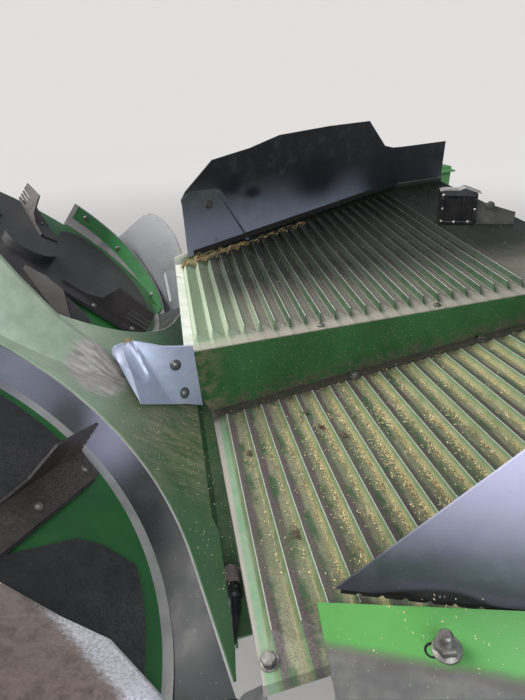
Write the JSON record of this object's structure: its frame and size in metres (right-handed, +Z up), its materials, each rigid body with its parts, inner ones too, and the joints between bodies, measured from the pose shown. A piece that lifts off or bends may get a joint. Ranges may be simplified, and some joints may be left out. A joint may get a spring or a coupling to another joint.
{
  "type": "combine harvester chaff pan and spreader section",
  "caption": "Rear chaff section of a combine harvester: a stepped corrugated chaff pan that shakes lengthwise and two tilted bat rotors in dishes that spread the chaff.",
  "frame": {"origin": "middle of the bolt pattern on the front face of the cross beam", "axes": "+X to the front of the machine, +Y to its left side, +Z up"},
  "size_m": [1.8174, 2.0014, 0.653],
  "materials": {
    "green_paint": "worn green enamel under field dust",
    "grey_sheet": "blue-grey coated sheet with scuffs",
    "dark_band": "dark grey sheet polished by chaff",
    "rotor_steel": "worn steel with brown dust",
    "rubber_seal": "matte",
    "bright_steel": "ground rod",
    "cast_grey": "painted casting"
  },
  "bodies": {
    "frame": {"centre_ridge": "green_paint", "cross_beam": "green_paint", "dish_band_far": "dark_band", "dish_band_near": "dark_band", "dish_floor_far": "green_paint", "dish_floor_near": "green_paint", "guard_far": "grey_sheet", "guard_near": "grey_sheet", "guide_rod_front_far": "bright_steel", "guide_rod_front_near": "bright_steel", "guide_rod_rear_far": "bright_steel", "guide_rod_rear_near": "bright_steel", "rail_far": "green_paint", "rail_near": "green_paint", "rotor_motor_far": "cast_grey", "rotor_motor_near": "cast_grey", "seal_far": "rubber_seal", "seal_near": "rubber_seal", "side_bracket_far": "green_paint", "side_bracket_near": "green_paint", "side_plate_far": "grey_sheet", "side_plate_near": "grey_sheet", "skirt_far": "grey_sheet", "skirt_near": "grey_sheet", "spreader_deck": "green_paint", "stiffener_foot_far": "green_paint", "stiffener_foot_near": "green_paint", "stiffener_top_far": "green_paint", "stiffener_top_near": "green_paint", "tail_member": "green_paint"},
    "pan": {"divider_wall": "green_paint", "nose_cap": "grey_sheet", "pan_far": "green_paint", "pan_near": "green_paint", "pan_rib_front": "green_paint", "pan_rib_rear": "green_paint"},
    "rotor_right": {"bat_near_1": "rotor_steel", "bat_near_2": "rotor_steel", "bat_near_3": "rotor_steel", "bat_near_4": "rotor_steel", "rotor_disc_near": "rotor_steel"},
    "rotor_left": {"bat_far_1": "rotor_steel", "bat_far_2": "rotor_steel", "bat_far_3": "rotor_steel", "bat_far_4": "rotor_steel", "rotor_disc_far": "rotor_steel"}
  },
  "joints": [
    {"name": "pan_shake", "type": "slide", "parent": "frame", "child": "pan", "axis": [1, 0, 0], "range_m": [-0.01, 0.01]},
    {"name": "rotor_right_spin", "type": "hinge", "parent": "frame", "child": "rotor_right", "pos_m": [-1.46213, -0.535, 0.15781], "axis": [0.6018, 0, 0.7986], "continuous": true},
    {"name": "rotor_left_spin", "type": "hinge", "parent": "frame", "child": "rotor_left", "pos_m": [-1.46213, 0.535, 0.15781], "axis": [0.6018, 0, 0.7986], "continuous": true}
  ]
}
